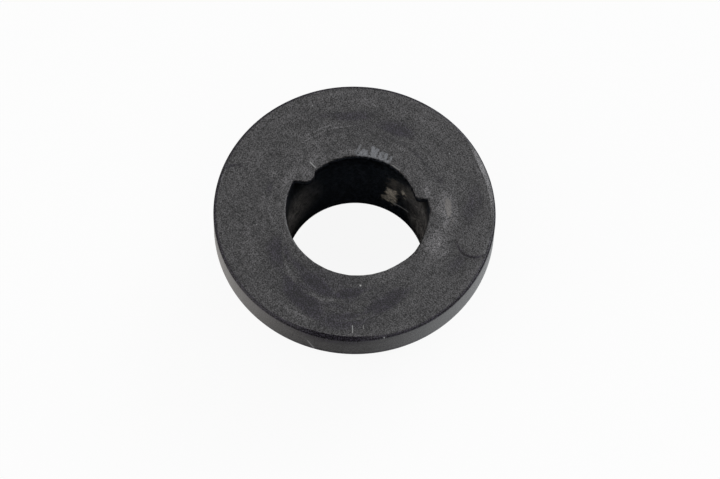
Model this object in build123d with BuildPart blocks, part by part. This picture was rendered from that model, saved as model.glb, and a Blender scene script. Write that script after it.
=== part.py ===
from build123d import *
import os
from math import cos, radians, sin

os.makedirs("parts", exist_ok=True)

# Flanged hinge bushing, moulded in one piece. Millimetres, +Z up.
# The origin is on the pin bore's axis, in the plane of the barrel's end face,
# and the flange is uppermost. +Y points away from the side with the plain bore rim.

# Flange
flange_radius = 12.7
flange_thickness = 3.2
flange_offset_x = -0.25
flange_offset_y = -0.13
flange_top_round = 0.35
flange_under_round = 0.2

# Barrel below the flange
barrel_radius = 8.73
barrel_length = 9.0
barrel_lead_in = 0.5
barrel_root_round = 0.3

# Pin bore, which runs from the barrel's end up to the lip
bore_radius = 6.4
bore_lead_in = 0.3

# Bore's mouth, which opens out slightly above the level of the lip's underside
mouth_radius = 6.44
mouth_edge_round = 0.1

# Thin lip inside the mouth, flush with the flange's face.
# It spans the far part of the rim only, and both of its ends are cut square to Y.
lip_inner_radius = 5.43
lip_thickness = 0.8
lip_left_end_y = 2.72
lip_right_end_y = 1.35
lip_right_corner_round = 0.55

# Round ejector mark at the lip's left end, which bulges past the lip's inner edge
tab_radius = 0.85
tab_centre_radius = 5.95
tab_angle = 143.7

# Ejector marks on the flange's face: one stands proud, one is sunk.
# Their places are measured from the flange's own centre.
mark_radius = 1.52
mark_centre_radius = 11.13
proud_mark_angle = -14.0
proud_mark_height = 0.1
sunk_mark_angle = 166.0
sunk_mark_depth = 0.06
mark_edge_margin = 0.05

total_height = barrel_length + flange_thickness
lip_underside = total_height - lip_thickness
face_rim_radius = flange_radius - flange_top_round - mark_edge_margin
lip_blank_radius = bore_radius + 1.0
lip_blank_size = 2 * lip_blank_radius


def on_flange(radius, angle):
    """Point of the flange's face at a radius and an angle in degrees from the flange's centre."""
    x = flange_offset_x + radius * cos(radians(angle))
    y = flange_offset_y + radius * sin(radians(angle))
    return x, y


tab_centre = (
    tab_centre_radius * cos(radians(tab_angle)),
    tab_centre_radius * sin(radians(tab_angle)),
)

# Outline of the lip, which runs on into the flange round the bore
with BuildSketch() as lip_outline:
    Circle(lip_blank_radius)
    Circle(lip_inner_radius, mode=Mode.SUBTRACT)
    with Locations((lip_blank_radius, lip_right_end_y - lip_blank_radius)):
        Rectangle(lip_blank_size, lip_blank_size, mode=Mode.SUBTRACT)
    with Locations((-lip_blank_radius, lip_left_end_y - lip_blank_radius)):
        Rectangle(lip_blank_size, lip_blank_size, mode=Mode.SUBTRACT)
    right_corner = lip_outline.vertices().sort_by_distance((lip_inner_radius, lip_right_end_y, 0))[0]
    fillet(right_corner, lip_right_corner_round)
    with Locations(tab_centre):
        Circle(tab_radius)

with BuildPart() as hinge_bushing:
    # Barrel, with a lead-in round its end
    with BuildSketch():
        Circle(barrel_radius)
    extrude(amount=barrel_length)
    chamfer(hinge_bushing.faces().sort_by(Axis.Z)[0].edges(), barrel_lead_in)

    # Flange, which sits a little off the barrel's axis
    with BuildSketch(Plane.XY.offset(barrel_length)):
        with Locations((flange_offset_x, flange_offset_y)):
            Circle(flange_radius)
    extrude(amount=flange_thickness)
    rims = hinge_bushing.edges().filter_by(GeomType.CIRCLE)
    outer_rims = rims.filter_by(lambda rim: abs(rim.radius - flange_radius) < 0.01).sort_by(Axis.Z)
    fillet(outer_rims[-1], flange_top_round)
    fillet(outer_rims[0], flange_under_round)
    root = rims.filter_by(lambda rim: abs(rim.radius - barrel_radius) < 0.01).sort_by(Axis.Z)[-1]
    fillet(root, barrel_root_round)

    # Pin bore up to the lip's underside, and the slightly opened mouth above it
    with BuildSketch():
        Circle(bore_radius)
    extrude(amount=lip_underside, mode=Mode.SUBTRACT)
    with Locations((0, 0, lip_underside)):
        Cone(
            bore_radius,
            mouth_radius,
            lip_thickness,
            align=(Align.CENTER, Align.CENTER, Align.MIN),
            mode=Mode.SUBTRACT,
        )

    # Lip across the far part of the mouth
    with BuildSketch(Plane.XY.offset(lip_underside)):
        add(lip_outline.sketch)
    extrude(amount=lip_thickness)
    mouth_edges = hinge_bushing.faces().sort_by(Axis.Z)[-1].inner_wires()[0].edges()
    fillet(mouth_edges, mouth_edge_round)

    # Lead-in at the bore's other end
    bore_end = hinge_bushing.faces().sort_by(Axis.Z)[0].edges().sort_by(SortBy.LENGTH)[0]
    chamfer(bore_end, bore_lead_in)

    # Sunk ejector mark on the left of the face
    with BuildSketch(Plane.XY.offset(total_height - sunk_mark_depth)):
        with Locations(on_flange(mark_centre_radius, sunk_mark_angle)):
            Circle(mark_radius)
        with Locations((flange_offset_x, flange_offset_y)):
            Circle(face_rim_radius, mode=Mode.INTERSECT)
    extrude(amount=sunk_mark_depth, mode=Mode.SUBTRACT)

    # Proud ejector mark on the right of the face
    with BuildSketch(Plane.XY.offset(total_height)):
        with Locations(on_flange(mark_centre_radius, proud_mark_angle)):
            Circle(mark_radius)
        with Locations((flange_offset_x, flange_offset_y)):
            Circle(face_rim_radius, mode=Mode.INTERSECT)
    extrude(amount=proud_mark_height)

hinge_bushing.part.label = "hinge_bushing"
export_step(hinge_bushing.part, "parts/hinge_bushing.step")
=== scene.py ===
"""Looks of a flanged hinge bushing moulded in black plastic, on a pale studio floor."""

import logging
import math
from dataclasses import dataclass
from enum import Enum

import bpy
import numpy as np
from mathutils import Matrix, Vector


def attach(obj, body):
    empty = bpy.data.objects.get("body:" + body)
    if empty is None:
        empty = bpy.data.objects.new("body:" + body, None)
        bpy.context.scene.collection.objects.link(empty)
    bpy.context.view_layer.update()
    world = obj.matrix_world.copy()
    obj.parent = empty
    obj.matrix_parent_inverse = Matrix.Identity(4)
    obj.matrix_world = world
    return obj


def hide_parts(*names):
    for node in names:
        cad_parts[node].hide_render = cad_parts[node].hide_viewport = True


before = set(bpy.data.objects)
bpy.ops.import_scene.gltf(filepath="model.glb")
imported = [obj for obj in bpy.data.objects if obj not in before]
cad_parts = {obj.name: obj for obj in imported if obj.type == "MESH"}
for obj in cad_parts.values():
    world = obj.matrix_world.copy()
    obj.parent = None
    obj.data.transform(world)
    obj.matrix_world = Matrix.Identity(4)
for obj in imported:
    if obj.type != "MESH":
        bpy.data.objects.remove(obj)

LOG = logging.getLogger("hinge_bushing")
MM = 0.001
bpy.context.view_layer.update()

# A span runs from one number to another. A change adds what it starts and ends at.
# A warp says how often a place bends per millimetre, and how far.
Socket = bpy.types.NodeSocket
Value = float | Socket
Length = float | np.ndarray
Point = tuple[float, float, float]
Colour = tuple[float, float, float, float]
Span = tuple[float, float]
Change = tuple[float, float, float, float]
Warp = tuple[float, Point]
WHITE: Colour = (1.0, 1.0, 1.0, 1.0)

# Millimetres: the flange's own centre, seen from the bore's axis, the height of its
# face, and the heights between which what lies on the face alone fades in.
FLANGE_X = -0.25
FLANGE_Y = -0.13
FACE = 12.2
FACE_FADE: Span = (11.9, 12.1)

# How the ground under the flow marks bends, so that they wander
FLOW_BENDS: Warp = (0.45, (0.8, 0.8, 0.8))

# Small enough to stand for nothing, in millimetres
TINY = 1e-6

# Where four points round a place lie, to take the mean of a pattern close to it
FOUR_SIDES = ((1, 1, 1), (1, -1, -1), (-1, 1, -1), (-1, -1, 1))


def falloff(angle: np.ndarray, centre_deg: float, width_deg: float) -> np.ndarray:
    """Smooth bump round an angle.

    Args:
        angle: Angles round the axis, in radians.
        centre_deg: Angle of the bump's middle, in degrees.
        width_deg: Spread of the bump, in degrees.

    Returns:
        One at the middle, falling to zero on both sides.
    """
    turn = np.degrees(angle) - centre_deg
    turn = (turn + 180.0) % 360.0 - 180.0
    return np.exp(-((turn / width_deg) ** 2))


@dataclass(frozen=True)
class Zone:
    """Stretch round an axis where something is stronger. Angles in degrees."""

    strength: float
    middle: float
    width: float

    def share(self, angle: np.ndarray) -> np.ndarray:
        """Strength at each angle in radians, falling to zero on both sides."""
        return self.strength * falloff(angle, self.middle, self.width)


@dataclass(frozen=True)
class Wave:
    """Fine ripple round an axis: its height, how often it swings, and where it starts."""

    height: float
    swings: float
    start: float = 0.0

    def share(self, angle: np.ndarray) -> np.ndarray:
        """Height at each angle in radians, above or below zero."""
        return self.height * np.sin(angle * self.swings + self.start)


class MarkKind(Enum):
    """Whether an ejector mark stands out of the face or lies below it."""

    PROUD = 1.0
    SUNK = -1.0


@dataclass(frozen=True)
class EjectorMark:
    """Round mark that an ejector pin left in the face. Sizes in millimetres.

    Its relief is strongest at steep_side, in degrees, and runs out at the opposite side.
    """

    x: float
    y: float
    radius: float
    depth: float
    kind: MarkKind
    steep_side: float
    crisp_before: tuple[float, ...] = (-0.30, -0.13, -TINY, TINY, 0.13, 0.30)
    crisp_after: tuple[float, ...] = (-0.30, -0.08, -0.035, 0.035, 0.08, 0.30)

    def distance(self, x: np.ndarray, y: np.ndarray) -> np.ndarray:
        """Distance of each point from the mark's centre."""
        return np.hypot(x - self.x, y - self.y)

    def crisp(self, x: np.ndarray, y: np.ndarray) -> tuple[np.ndarray, np.ndarray]:
        """Draws points that lie near the mark's edge close to it, on their own side.

        Args:
            x: Points across the face, in millimetres.
            y: Points across the face, in millimetres.

        Returns:
            The points' new x and y.
        """
        far = self.distance(x, y)
        before = self.radius + np.array(self.crisp_before)
        after = self.radius + np.array(self.crisp_after)
        close = np.abs(far - self.radius) < self.crisp_before[-1]
        moved = np.where(close, np.interp(far, before, after), far)
        share = moved / np.maximum(far, TINY)
        return self.x + (x - self.x) * share, self.y + (y - self.y) * share

    def lean(self, x: np.ndarray, y: np.ndarray) -> np.ndarray:
        """How far each point lies towards the steep side.

        Args:
            x: Points across the face, in millimetres.
            y: Points across the face, in millimetres.

        Returns:
            A share of the radius, which is negative on the side that runs out.
        """
        side = math.radians(self.steep_side)
        out = (x - self.x) * math.cos(side) + (y - self.y) * math.sin(side)
        return out / self.radius

    def relief(self, x: np.ndarray, y: np.ndarray) -> np.ndarray:
        """Height of the mark over the plain face.

        Args:
            x: Points across the face, in millimetres.
            y: Points across the face, in millimetres.

        Returns:
            The height at each point, which is negative in a sunk mark.
        """
        share = np.clip(0.5 + 0.5 * self.lean(x, y), 0.0, 1.0)
        inside = self.distance(x, y) < self.radius
        return np.where(inside, self.kind.value * self.depth * share, 0.0)


@dataclass(frozen=True)
class WornFlat:
    """Flat that wear has cut across the flange's upper edge. Millimetres and degrees."""

    middle: float
    reach_before: float
    reach_after: float
    length: float
    tilt: float
    crispness: float = 2.0

    def share(self, angle: np.ndarray) -> np.ndarray:
        """How much of the flat there is round the edge.

        Args:
            angle: Angles round the flange, in radians.

        Returns:
            One at the flat's middle, falling to zero on both sides.
        """
        turn = (np.degrees(angle) - self.middle + 180.0) % 360.0 - 180.0
        reach = np.where(turn < 0, self.reach_before, self.reach_after)
        return np.exp(-(np.abs(turn / reach) ** self.crispness))


@dataclass(frozen=True)
class Mouth:
    """Mouth of the pin bore, with the lip across its far part. Sizes in millimetres."""

    radius: float = 6.44
    edge_round: float = 0.10
    lip_radius: float = 5.43
    lip_left_end_y: float = 2.72
    lip_right_end_y: float = 1.35
    lip_corner_x: float = 5.67
    lip_corner_y: float = 1.90
    lip_corner_round: float = 0.55
    lip_step: float = 0.25
    lip_ripples: tuple[Wave, ...] = (Wave(0.012, 61.0), Wave(0.010, 97.0, 1.1))
    lip_ripple_margin: float = 0.02
    lip_nick: Zone = Zone(-0.05, 107.5, 0.9)
    worn_back: tuple[Zone, ...] = (
        Zone(0.32, 323.0, 10.0),
        Zone(0.36, 2.6, 4.2),
        Zone(0.05, 205.0, 14.0),
        Zone(0.04, 262.0, 20.0),
    )
    worn_ripple: float = 0.012
    worn_waves: tuple[Wave, Wave] = (Wave(1.0, 37.0), Wave(1.0, 23.0, 2.0))
    tab: EjectorMark = EjectorMark(-4.80, 3.52, 0.85, 0.035, MarkKind.SUNK, 30.0)

    @staticmethod
    def near_side(angle: np.ndarray, x: float, y: float, radius: float) -> np.ndarray:
        """Where a ray from the bore's axis first meets a circle.

        Args:
            angle: Angles of the rays, in radians.
            x: The circle's centre.
            y: The circle's centre.
            radius: The circle's radius.

        Returns:
            Distance along each ray, or infinity where it misses.
        """
        out = math.hypot(x, y)
        turn = angle - math.atan2(y, x)
        under = radius**2 - (out * np.sin(turn)) ** 2
        hit = out * np.cos(turn) - np.sqrt(np.maximum(under, 0.0))
        return np.where((under > 0) & (np.cos(turn) > 0), hit, np.inf)

    def outline(self, angle: np.ndarray) -> np.ndarray:
        """Radius of the mouth's outline below its rounded edge.

        Args:
            angle: Angles round the bore's axis, in radians.

        Returns:
            The plain rim's radius, or the lip's or the tab's where they close the mouth.
        """
        up = np.maximum(np.sin(angle), TINY)
        left = self.lip_left_end_y / up
        right = self.lip_right_end_y / up
        lip = np.maximum(self.lip_radius, np.where(np.cos(angle) < 0, left, right))
        corner = self.near_side(
            angle, self.lip_corner_x, self.lip_corner_y, self.lip_corner_round
        )
        corner_start = math.atan2(self.lip_right_end_y, self.lip_corner_x)
        corner_end = math.atan2(self.lip_corner_y, self.lip_corner_x)
        rounded = (angle > corner_start) & (angle < corner_end)
        lip = np.where(rounded, np.minimum(corner, self.radius), lip)
        tab = self.near_side(angle, self.tab.x, self.tab.y, self.tab.radius)
        ragged = sum(wave.share(angle) for wave in self.lip_ripples)
        nick = self.lip_nick.share(angle)
        lip = lip + (ragged + nick) * (lip < self.lip_radius + self.lip_ripple_margin)
        return np.minimum(np.minimum(lip, tab), self.radius)

    def lip_share(self, angle: np.ndarray) -> np.ndarray:
        """One where the lip or the tab closes the mouth, and zero at the plain rim."""
        return np.clip((self.radius - self.outline(angle)) / self.lip_step, 0.0, 1.0)

    def wear(self, angle: np.ndarray) -> np.ndarray:
        """How far the rim's edge is worn back.

        Args:
            angle: Angles round the bore's axis, in radians.

        Returns:
            The depth of the wear at each angle, which is zero at the lip.
        """
        worn = sum(zone.share(angle) for zone in self.worn_back)
        first, second = (1.0 + wave.share(angle) for wave in self.worn_waves)
        worn = worn + self.worn_ripple * first * second
        return worn * (1.0 - self.lip_share(angle))


@dataclass(frozen=True)
class PaintedEdgeLight:
    """How dark and smooth the painted shade makes the edges, and how pale the painted
    highlights are, as shares of full strength.

    Sizes in millimetres.
    """

    # Painted shade: the top of the side wall at the front and the bend over the edge all
    # round, with more at the front, are painted dark where the edge turns from the light
    front_side_shade: float = 0.9
    bend: float = 0.75
    front_bend_shade: float = 0.25
    # Painted highlight on the worn flats at the right and back of the upper edge, and a
    # painted glint along the front edge
    right_highlight: float = 0.65
    front_highlight: Zone = Zone(0.6, 272.0, 6.0)
    # Painted highlight on the mouth's rim at its left and right, made ragged by these
    # waves
    ragged_level: float = 0.6
    ragged_swing: float = 0.4
    ragged_waves: tuple[Wave, Wave] = (Wave(1.0, 53.0), Wave(1.0, 31.0, 1.0))
    mouth_highlight: float = 0.4
    mouth_highlight_zones: tuple[Zone, ...] = (Zone(1.0, 172.0, 22.0), Zone(1.0, 8.0, 9.0))
    mouth_highlight_rings: int = 4
    # Painted shade along the flange's under edge, up to this height above its underside
    under: float = 0.8
    under_shade_height: float = 0.45
    # Painted shade on the steep side of each ejector mark's edge
    mark: float = 2.2
    mark_shade_width: float = 0.07
    mark_shade_drop: float = 0.2

    def mouth_rim_highlight(self, angle: np.ndarray) -> np.ndarray:
        """How pale the painted highlight on the mouth's rim is.

        Args:
            angle: Angles round the bore's axis, in radians.

        Returns:
            The painted highlight at each angle.
        """
        first, second = (wave.share(angle) for wave in self.ragged_waves)
        ragged = self.ragged_level + self.ragged_swing * first * second
        zones = sum(zone.share(angle) for zone in self.mouth_highlight_zones)
        return self.mouth_highlight * ragged * zones

    def mark_edge_shade(self, mark: EjectorMark, x: np.ndarray, y: np.ndarray) -> np.ndarray:
        """How dark the painted shade on the steep part of a mark's edge is.

        Args:
            mark: The mark.
            x: Points across the face.
            y: Points across the face.

        Returns:
            The painted shade at each point, for a mark as deep as one unit.
        """
        steep = np.clip(mark.lean(x, y), 0.0, 1.0) ** 2
        gap = (mark.distance(x, y) - mark.radius) / self.mark_shade_width
        return self.mark * np.exp(-(gap**2)) * steep


@dataclass
class Bushing:
    """The whole bushing as one skin of rings round the pin bore. Sizes in millimetres."""

    flange_x: float = FLANGE_X
    flange_y: float = FLANGE_Y
    flange_radius: float = 12.7
    flange_top: float = FACE
    flange_bottom: float = 9.0
    under_round: float = 0.2
    root_round: float = 0.3
    barrel_radius: float = 8.73
    barrel_lead_in: float = 0.5
    bore_radius: float = 6.4
    bore_lead_in: float = 0.3
    lip_underside: float = 11.4
    mouth: Mouth = Mouth()
    marks: tuple[EjectorMark, ...] = (
        EjectorMark(10.549, -2.823, 1.52, 0.10, MarkKind.PROUD, 250.0),
        EjectorMark(-11.049, 2.563, 1.52, 0.05, MarkKind.SUNK, 115.0),
    )

    # Upper edge of the flange, its wear, and the painted shade and highlights of the edges
    upper_round: float = 0.24
    upper_wave: Wave = Wave(0.01, 13.0)
    plain_flat: float = 0.03
    front_flat: WornFlat = WornFlat(265.5, 21.0, 15.0, 0.42, 42.0, 3.0)
    right_flats: tuple[WornFlat, ...] = (
        WornFlat(24.0, 7.0, 9.0, 0.22, 10.0),
        WornFlat(13.0, 17.0, 16.0, 0.22, 8.0),
    )
    wear_slant: float = 1.3
    painted_edge_light: PaintedEdgeLight = PaintedEdgeLight()

    # Points of a ring, and the zones where they crowd together
    around: int = 960
    fine_steps: int = 14400
    crowded: tuple[Zone, ...] = (
        Zone(2.2, 14.0, 3.5),
        Zone(2.4, 151.5, 4.5),
        Zone(0.8, -14.0, 9.0),
        Zone(0.5, 166.0, 9.0),
    )

    # Rings: how close they lie to an edge, how far they turn round one, and their places
    # as heights or as shares of the way across
    crease: float = 0.05
    mouth_turns: tuple[float, ...] = (0.0, 22.5, 45.0, 67.5, 90.0)
    mouth_shares: tuple[float, ...] = (0.5, 1.0)
    mouth_step: float = 0.1
    mouth_margin: float = 0.01
    wall_drop: float = 0.02
    bore_heights: tuple[float, ...] = (8.0, 4.0)
    lead_in_shares: tuple[float, ...] = (0.1, 0.9)
    barrel_middle: float = 4.5
    round_turns: tuple[float, ...] = (30.0, 60.0, 90.0)
    under_shares: tuple[float, ...] = (0.03, 0.5, 0.97, 1.0)
    side_shares: tuple[float, ...] = (0.02, 0.08, 0.16, 0.7)
    bend_rings: int = 8
    flat_shares: tuple[float, ...] = (0.06, 0.5, 0.94, 1.0)
    face_width: float = 5.78
    face_edge_steps: tuple[float, ...] = (0.03, 0.06)
    face_span: Span = (0.15, 5.45)
    face_count: int = 39
    face_mouth_steps: tuple[float, ...] = (5.55, 5.63, 5.70)
    face_margin: float = 0.045

    def angles(self) -> np.ndarray:
        """Angles of the rings' points, closer together where the outline turns quickly.

        Returns:
            Rising angles in radians, over one turn.
        """
        even = np.linspace(0.0, 2.0 * math.pi, self.fine_steps + 1)
        crowd = 1.0 + sum(zone.share(even) for zone in self.crowded)
        total = np.concatenate([[0.0], np.cumsum((crowd[1:] + crowd[:-1]) / 2.0)])
        wanted = np.linspace(0.0, total[-1], self.around + 1)[:-1]
        return np.interp(wanted, total, even)

    def upper_edge(self, angle: np.ndarray) -> list[np.ndarray]:
        """Rings over the flange's upper edge: a round, and the flats worn into it.

        Args:
            angle: Angles of the rings' points, in radians.

        Returns:
            Rings in order, from the top of the side wall to the face.
        """
        flats = (self.front_flat, *self.right_flats)
        tilt = np.radians(sum(flat.tilt * flat.share(angle) for flat in flats))
        length = self.plain_flat + sum(flat.length * flat.share(angle) for flat in flats)
        size = self.upper_round + self.upper_wave.share(angle)
        middle = self.flange_top - size * np.cos(tilt) - length * np.sin(tilt)
        rings = []
        for share in np.linspace(0.0, 1.0, self.bend_rings):
            slope = math.pi / 2.0 + (tilt - math.pi / 2.0) * share
            radius = self.flange_radius - size * (1.0 - np.sin(slope))
            rings.append(self.on_flange(angle, radius, middle + size * np.cos(slope)))
        for share in self.flat_shares:
            along = radius - length * np.cos(tilt) * share
            z = middle + size * np.cos(tilt) + length * np.sin(tilt) * share
            rings.append(self.on_flange(angle, along, z))
        return rings

    def on_bore(self, angle: np.ndarray, radius: Length, z: Length) -> np.ndarray:
        """Points of a ring round the bore's axis.

        Args:
            angle: Angles of the points, in radians.
            radius: Their distance from the axis, one for all or one for each.
            z: Their height, one for all or one for each.

        Returns:
            The points, one a row.
        """
        radius = np.broadcast_to(radius, angle.shape)
        z = np.broadcast_to(z, angle.shape)
        return np.stack([radius * np.cos(angle), radius * np.sin(angle), z], axis=1)

    def on_flange(self, angle: np.ndarray, radius: Length, z: Length) -> np.ndarray:
        """Points of a ring round the flange's own centre.

        Args:
            angle: Angles of the points, in radians.
            radius: Their distance from the centre, one for all or one for each.
            z: Their height, one for all or one for each.

        Returns:
            The points, one a row.
        """
        ring = self.on_bore(angle, radius, z)
        ring[:, 0] += self.flange_x
        ring[:, 1] += self.flange_y
        return ring

    def from_flange(self, x: np.ndarray, y: np.ndarray) -> np.ndarray:
        """Distance of each point from the flange's own axis."""
        return np.hypot(x - self.flange_x, y - self.flange_y)

    def bore_rings(self, angle: np.ndarray) -> list[np.ndarray]:
        """Rings from the face's inner edge down the bore to the barrel's end.

        Args:
            angle: Angles of the rings' points, in radians.

        Returns:
            Rings in order, each an array of points.
        """
        outline = self.mouth.outline(angle)
        worn = self.mouth.wear(angle)
        across = self.mouth.edge_round + worn
        down = self.mouth.edge_round + self.wear_slant * worn
        rings = []
        for turn in np.radians(self.mouth_turns):
            radius = outline + across * (1.0 - math.sin(turn))
            z = self.flange_top - down * (1.0 - math.cos(turn))
            rings.append(self.on_bore(angle, radius, z))
        plain = 1.0 - self.mouth.lip_share(angle)
        low_z = self.lip_underside + self.mouth_step * plain
        low_radius = np.minimum(outline, self.bore_radius + self.mouth_margin)
        for share in self.mouth_shares:
            radius = outline + (low_radius - outline) * share
            top_z = self.flange_top - down
            rings.append(self.on_bore(angle, radius, top_z + (low_z - top_z) * share))
        wall_top = self.lip_underside - self.wall_drop
        middle = (low_radius + self.bore_radius) / 2.0
        rings.append(self.on_bore(angle, middle, (low_z + wall_top) / 2.0))
        low = self.bore_lead_in
        for z in (wall_top, *self.bore_heights, low + self.crease, low):
            rings.append(self.on_bore(angle, self.bore_radius, z))
        for share in (*self.lead_in_shares, 1.0):
            radius = self.bore_radius + low * share
            rings.append(self.on_bore(angle, radius, low * (1.0 - share)))
        return rings

    def outside_rings(self, angle: np.ndarray) -> list[np.ndarray]:
        """Rings from the barrel's end up the outside to the face's outer edge.

        Args:
            angle: Angles of the rings' points, in radians.

        Returns:
            Rings in order, each an array of points.
        """
        end_radius = self.barrel_radius - self.barrel_lead_in
        inner_end = self.bore_radius + self.bore_lead_in
        rings = [self.on_bore(angle, inner_end + self.crease, 0.0)]
        for radius in (end_radius - self.crease, end_radius):
            rings.append(self.on_bore(angle, radius, 0.0))
        low = self.barrel_lead_in
        for share in self.lead_in_shares:
            rings.append(self.on_bore(angle, end_radius + low * share, low * share))
        root_z = self.flange_bottom - self.root_round
        for z in (low, low + self.crease, self.barrel_middle, root_z):
            rings.append(self.on_bore(angle, self.barrel_radius, z))
        for turn in np.radians(self.round_turns):
            radius = self.barrel_radius + self.root_round * (1.0 - math.cos(turn))
            z = root_z + self.root_round * math.sin(turn)
            rings.append(self.on_bore(angle, radius, z))
        inner = rings[-1]
        under = self.flange_radius - self.under_round
        outer = self.on_flange(angle, under, self.flange_bottom)
        rings += [inner + (outer - inner) * share for share in self.under_shares]
        for turn in np.radians(self.round_turns):
            radius = self.flange_radius - self.under_round * (1.0 - math.sin(turn))
            z = self.flange_bottom + self.under_round * (1.0 - math.cos(turn))
            rings.append(self.on_flange(angle, radius, z))
        low, top = rings[-1], self.upper_edge(angle)[0]
        return rings + [low + (top - low) * share for share in self.side_shares]

    def face_rings(self, inner: np.ndarray, outer: np.ndarray) -> list[np.ndarray]:
        """Rings across the face from its outer edge to the mouth, with the marks' relief.

        Args:
            inner: Points of the face's inner edge.
            outer: Points of the face's outer edge.

        Returns:
            Rings in order, without the two edges.
        """
        even = np.linspace(*self.face_span, self.face_count)
        marks = (*self.marks, self.mouth.tab)
        rings = []
        rim = self.from_flange(outer[:, 0], outer[:, 1])
        for step in (*self.face_edge_steps, *even, *self.face_mouth_steps):
            ring = outer + (inner - outer) * (step / self.face_width)
            x, y = ring[:, 0], ring[:, 1]
            for mark in marks:
                x, y = mark.crisp(x, y)
            inside = self.from_flange(x, y) < rim - self.face_margin
            kept = inside | (step <= self.face_edge_steps[-1])
            x = np.where(kept, x, ring[:, 0])
            y = np.where(kept, y, ring[:, 1])
            lift = sum(mark.relief(x, y) for mark in marks)
            rings.append(np.stack([x, y, ring[:, 2] + lift * inside], axis=1))
        return rings

    def worn(
        self, angle: np.ndarray, points: np.ndarray, counts: tuple[int, ...]
    ) -> dict[str, np.ndarray]:
        """How dark and smooth the painted shade makes the edges, and how pale the painted
        highlights are.

        Args:
            angle: Angles of the rings' points, in radians.
            points: The points of all rings.
            counts: How many rings the bore, outside, upper edge and face have.

        Returns:
            The painted shade and highlight of every point, by the name that the finish
            reads it under.
        """
        wear = self.painted_edge_light
        dark = np.zeros((sum(counts), len(angle)))
        pale = np.zeros_like(dark)
        face = sum(counts[:3])
        bend_start = face - counts[2]
        flat_start, flat_end = face - len(self.flat_shares) - 1, face - 1
        front = self.front_flat.share(angle)
        right = np.minimum(sum(flat.share(angle) for flat in self.right_flats), 1.0)
        # Painted shade on the front of the side wall and on the bend over the upper edge
        dark[bend_start] = wear.front_side_shade * front
        dark[bend_start + 1 : flat_start] = wear.bend + wear.front_bend_shade * front
        dark[flat_start:flat_end] = wear.bend * (1.0 - right) + wear.front_bend_shade * front
        # Painted highlight on the right-hand flats, and a painted glint along the front
        # edge
        pale[flat_start:face] = wear.right_highlight * right
        pale[flat_end : face + 1] += wear.front_highlight.share(angle)
        # Painted highlight on the mouth's rim
        pale[: wear.mouth_highlight_rings] = wear.mouth_rim_highlight(angle)
        x, y, z = points.reshape(*dark.shape, 3).transpose(2, 0, 1)
        # Painted shade along the flange's under edge
        outside = self.from_flange(x, y) > self.flange_radius - self.under_round
        dark[outside & (z < self.flange_bottom + wear.under_shade_height)] = wear.under
        # Painted shade on the steep side of each ejector mark's edge
        for mark in self.marks:
            depth = mark.depth / self.marks[0].depth
            on_face = z > self.flange_top - wear.mark_shade_drop
            dark += wear.mark_edge_shade(mark, x, y) * depth * on_face
        return {"painted_shade": dark.ravel(), "painted_highlight": pale.ravel()}

    def mesh(self, name: str) -> bpy.types.Mesh:
        """Joins all rings into one closed skin.

        Args:
            name: Name of the mesh.

        Returns:
            The mesh, in metres, with smooth faces and the painted shade and highlights of
            its edges.
        """
        angle = self.angles()
        bore = self.bore_rings(angle)
        outside = self.outside_rings(angle)
        edge = self.upper_edge(angle)
        face = self.face_rings(bore[0], edge[-1])
        rings = [*bore, *outside, *edge, *face]
        points = np.concatenate(rings)
        count, around = len(rings), len(angle)
        ring = np.arange(count)[:, None]
        step = np.arange(around)[None, :]
        after, along = (ring + 1) % count, (step + 1) % around
        here, beyond = ring * around, after * around
        corners = [here + step, here + along, beyond + along, beyond + step]
        quads = np.stack(corners, axis=-1).reshape(-1, 4)
        mesh = bpy.data.meshes.new(name)
        mesh.from_pydata((points * MM).tolist(), [], quads.tolist())
        mesh.polygons.foreach_set("use_smooth", np.ones(len(quads), bool))
        counts = (len(bore), len(outside), len(edge), len(face))
        for key, wear in self.worn(angle, points, counts).items():
            mesh.attributes.new(key, "FLOAT", "POINT").data.foreach_set("value", wear)
        mesh.validate()
        mesh.update()
        LOG.info("%s: %d rings of %d points", name, count, around)
        return mesh

    def build(self, finish: "MouldedPlastic") -> bpy.types.Object:
        """Makes the piece that stands for the plain solid.

        Args:
            finish: The finish to dress it with.

        Returns:
            The new piece, riding on the root body.
        """
        piece = bpy.data.objects.new("bushing", self.mesh("bushing"))
        bpy.context.scene.collection.objects.link(piece)
        piece.data.materials.append(finish.material())
        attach(piece, "root")
        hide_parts("hinge_bushing")
        return piece


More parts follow.
